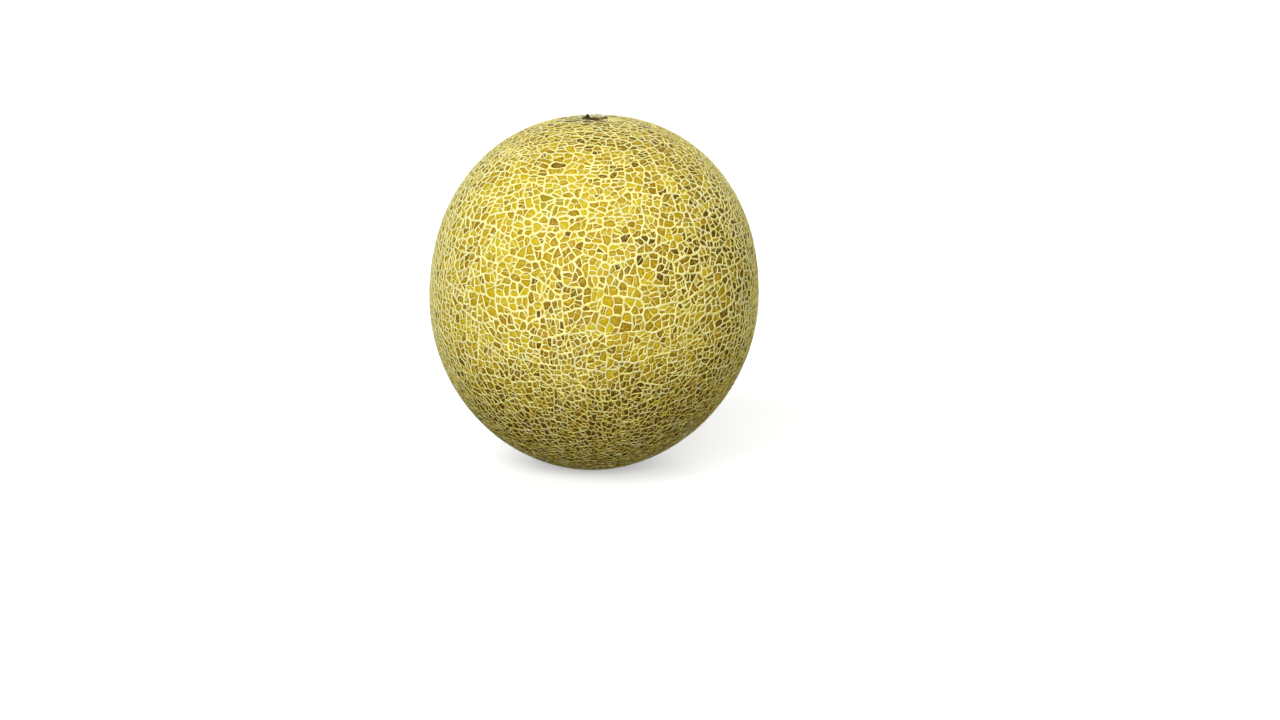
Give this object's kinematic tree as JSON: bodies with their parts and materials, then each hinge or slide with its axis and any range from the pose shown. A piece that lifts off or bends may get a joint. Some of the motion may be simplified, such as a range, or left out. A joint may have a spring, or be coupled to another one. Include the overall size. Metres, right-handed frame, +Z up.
{
  "type": "netted melon",
  "caption": "Whole round netted melon with a tan corky net over yellow rind, standing upright on its blossom end with the dry stem scar on top.",
  "frame": {"origin": "middle of the flat spot on the blossom end that the fruit rests on", "axes": "+Z up through the fruit from the blossom end to the stem scar; -Y faces the viewer"},
  "size_m": [0.1424, 0.1416, 0.154],
  "materials": {
    "rind": "satin",
    "netting": "matte",
    "scar": "matte"
  },
  "bodies": {
    "root": {"melon": "rind"}
  },
  "joints": []
}
